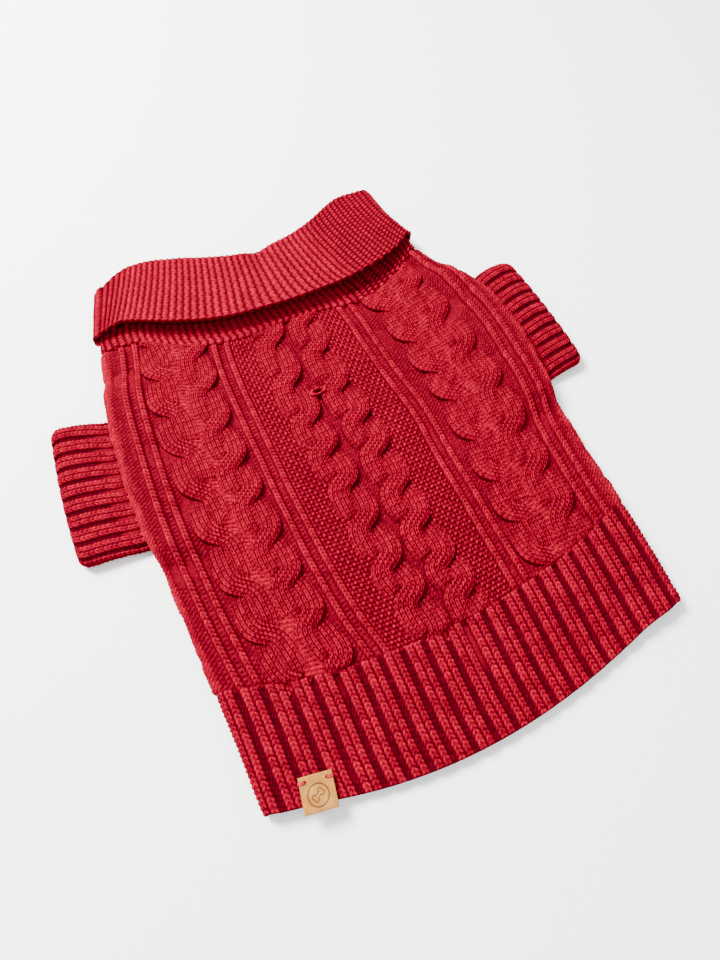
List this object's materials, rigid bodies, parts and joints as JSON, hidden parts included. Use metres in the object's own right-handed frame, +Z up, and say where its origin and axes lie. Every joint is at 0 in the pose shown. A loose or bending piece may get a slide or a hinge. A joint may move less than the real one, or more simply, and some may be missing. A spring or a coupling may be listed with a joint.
{
  "type": "knitted dog sweater, laid flat",
  "caption": "Cable-knit pullover for a dog, laid flat back up, with short ribbed sleeves, deep ribbed hem, turned-down collar and a small leather tab.",
  "frame": {"origin": "on the surface the sweater lies on, under the middle of its overall box", "axes": "+Z up, +Y from the hem towards the neck, +X towards the garment's side away from the leather tab"},
  "size_m": [0.323, 0.3631, 0.0209],
  "materials": {
    "red_wool_knit": "matte knitted wool",
    "tan_leather": "smooth tan leather, satin"
  },
  "bodies": {
    "root": {"back_panel": "red_wool_knit", "belly_panel": "red_wool_knit", "hem_rib": "red_wool_knit", "sleeve_left": "red_wool_knit", "sleeve_right": "red_wool_knit", "collar": "red_wool_knit", "label": "tan_leather"}
  },
  "joints": []
}
